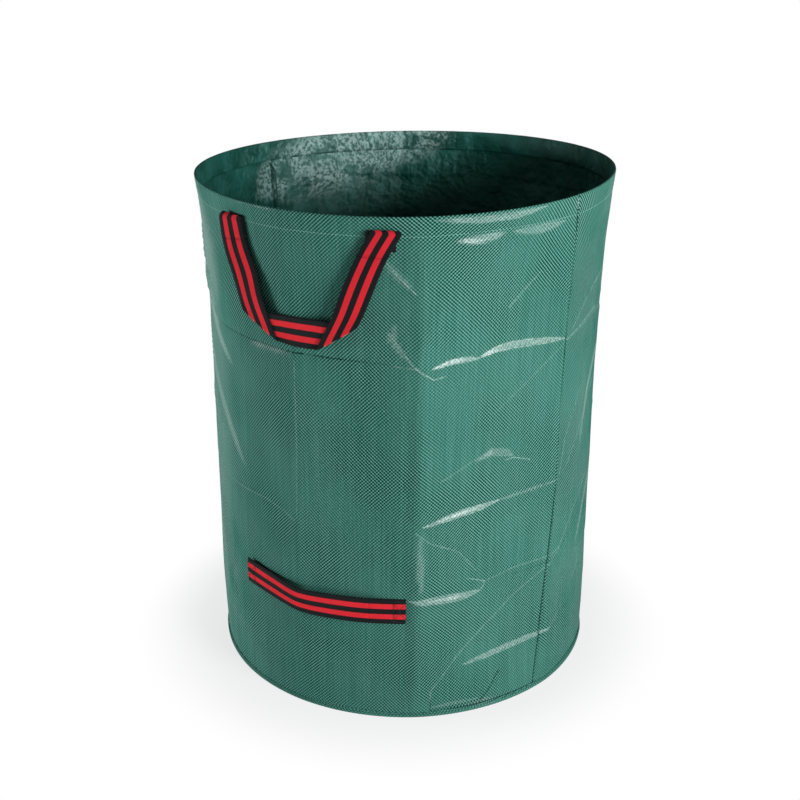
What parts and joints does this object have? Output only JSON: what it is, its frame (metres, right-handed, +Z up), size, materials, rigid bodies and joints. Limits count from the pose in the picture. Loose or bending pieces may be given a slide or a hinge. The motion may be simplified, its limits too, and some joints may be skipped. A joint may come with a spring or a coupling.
{
  "type": "garden waste bag",
  "caption": "Round self-standing garden waste bag of green woven cloth with a hooped hem, sewn base and striped webbing handles for carrying and tipping.",
  "frame": {"origin": "middle of the base's underside, which is the bottom centre of the bounding box", "axes": "+Z up through the mouth; the front pair of handles faces -Y and the back pair +Y; the side seams run up 73 degrees round from the middle of each pair"},
  "size_m": [0.6492, 0.6492, 0.76],
  "materials": {
    "woven_cloth": "coated woven polyethylene tape, semi-gloss, glossier inside",
    "binding_cloth": "folded strip of the same woven cloth",
    "webbing": "ribbed polypropylene webbing in five bands, black, red, black, red, black",
    "hoop_plastic": "natural polypropylene strip"
  },
  "bodies": {
    "bag": {"wall_panel_front": "woven_cloth", "wall_panel_back": "woven_cloth", "base_panel": "woven_cloth", "base_seam_binding": "binding_cloth", "rim_hoop": "hoop_plastic", "front_carry_handle_left_end": "webbing", "front_carry_handle_left_bend": "webbing", "front_tipping_handle_left_end": "webbing", "front_tipping_handle_left_slack": "webbing", "front_carry_handle_right_end": "webbing", "front_carry_handle_right_bend": "webbing", "front_tipping_handle_right_end": "webbing", "front_tipping_handle_right_slack": "webbing", "back_carry_handle_left_end": "webbing", "back_carry_handle_left_bend": "webbing", "back_tipping_handle_left_end": "webbing", "back_tipping_handle_left_slack": "webbing", "back_carry_handle_right_end": "webbing", "back_carry_handle_right_bend": "webbing", "back_tipping_handle_right_end": "webbing", "back_tipping_handle_right_slack": "webbing"},
    "front_carry": {"front_carry_handle": "webbing"},
    "front_tipping": {"front_tipping_handle": "webbing"},
    "back_carry": {"back_carry_handle": "webbing"},
    "back_tipping": {"back_tipping_handle": "webbing"}
  },
  "joints": [
    {"name": "front_carry_swing", "type": "hinge", "parent": "bag", "child": "front_carry", "pos_m": [0, -0.31188, 0.736], "axis": [-1, 0, 0], "range_deg": [0, 175], "deforming": ["front_carry_handle_left_bend", "front_carry_handle_right_bend"]},
    {"name": "front_tipping_pull", "type": "slide", "parent": "bag", "child": "front_tipping", "axis": [0.0297, -0.9996, 0], "range_m": [0, 0.025], "stiffness_N_per_m": 8, "deforming": ["front_tipping_handle_left_slack", "front_tipping_handle_right_slack"]},
    {"name": "back_carry_swing", "type": "hinge", "parent": "bag", "child": "back_carry", "pos_m": [0, 0.31188, 0.736], "axis": [1, 0, 0], "range_deg": [0, 175], "deforming": ["back_carry_handle_left_bend", "back_carry_handle_right_bend"]},
    {"name": "back_tipping_pull", "type": "slide", "parent": "bag", "child": "back_tipping", "axis": [-0.0297, 0.9996, 0], "range_m": [0, 0.025], "stiffness_N_per_m": 8, "deforming": ["back_tipping_handle_left_slack", "back_tipping_handle_right_slack"]}
  ]
}
